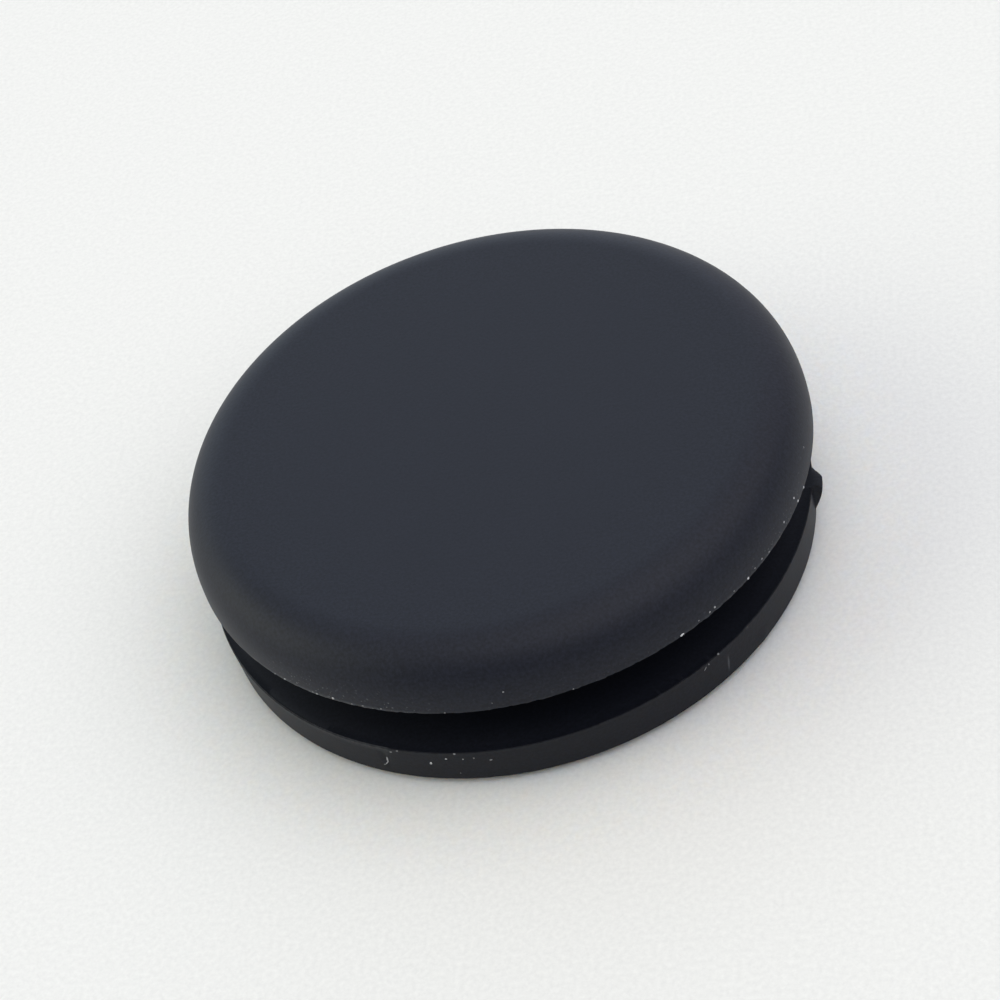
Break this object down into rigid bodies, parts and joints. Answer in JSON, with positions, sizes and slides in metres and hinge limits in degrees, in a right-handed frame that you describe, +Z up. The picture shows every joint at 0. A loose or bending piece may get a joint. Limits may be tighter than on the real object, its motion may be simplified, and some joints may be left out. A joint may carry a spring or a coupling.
{
  "type": "thumbstick cap",
  "caption": "Round black plastic thumbstick cap: flat disc with a rounded shoulder over an open groove, a lower flange and a stem end with a square socket.",
  "frame": {"origin": "centre of the stem's end face, at the foot of the cap on its axis", "axes": "+Z up along the cap's axis through the thumb face, +X through the small gate mark on the flange's rim"},
  "size_m": [0.0161, 0.016, 0.0044],
  "materials": {
    "black_plastic": "fine matte grain, as moulded"
  },
  "bodies": {
    "root": {"thumbstick_cap": "black_plastic"}
  },
  "joints": []
}
